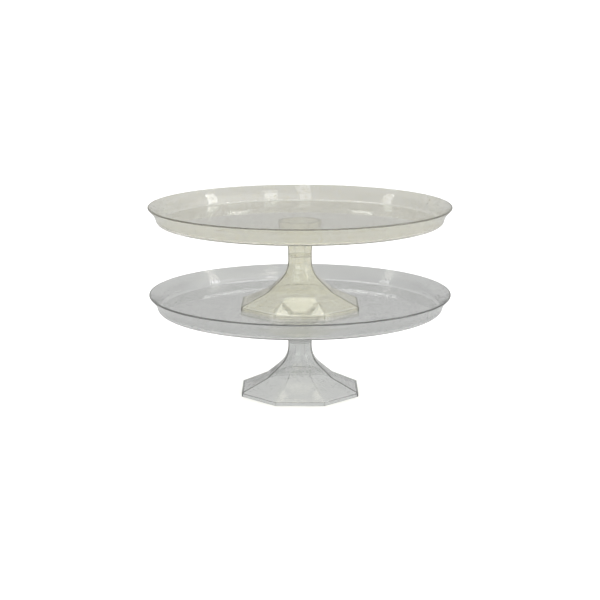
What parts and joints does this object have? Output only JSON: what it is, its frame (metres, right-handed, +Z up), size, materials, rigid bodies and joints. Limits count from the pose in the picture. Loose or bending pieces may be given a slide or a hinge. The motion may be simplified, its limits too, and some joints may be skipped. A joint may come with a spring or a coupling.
{
  "type": "tiered cake stand",
  "caption": "Tiered cake stand in clear glitter plastic: round shallow trays with flared rims, each plugged onto a hollow faceted trumpet pedestal; the upper stand lifts off the lower.",
  "frame": {"origin": "on the table, at the centre of the lower foot's underside", "axes": "+Z up along the stands' common axis; a flat of each eight-sided foot faces +X, -X, +Y and -Y; -Y is the front"},
  "size_m": [0.305, 0.305, 0.1928],
  "materials": {
    "silver_clear_plastic": "clear injection-moulded polystyrene with a light silver-grey tint and fine silver glitter, glossy",
    "gold_clear_plastic": "clear injection-moulded polystyrene with a light champagne-gold tint and fine gold glitter, glossy"
  },
  "bodies": {
    "lower_pedestal": {"lower_pedestal": "silver_clear_plastic"},
    "lower_tray": {"lower_tray": "silver_clear_plastic"},
    "upper_pedestal": {"upper_pedestal": "gold_clear_plastic"},
    "upper_tray": {"upper_tray": "gold_clear_plastic"}
  },
  "joints": [
    {"name": "lower_tray_pull_off", "type": "slide", "parent": "lower_pedestal", "child": "lower_tray", "axis": [0, 0, 1], "range_m": [0, 0.03]},
    {"name": "upper_stand_lift_off", "type": "slide", "parent": "lower_tray", "child": "upper_pedestal", "axis": [0, 0, 1], "range_m": [0, 0.09]},
    {"name": "upper_tray_pull_off", "type": "slide", "parent": "upper_pedestal", "child": "upper_tray", "axis": [0, 0, 1], "range_m": [0, 0.03]}
  ]
}
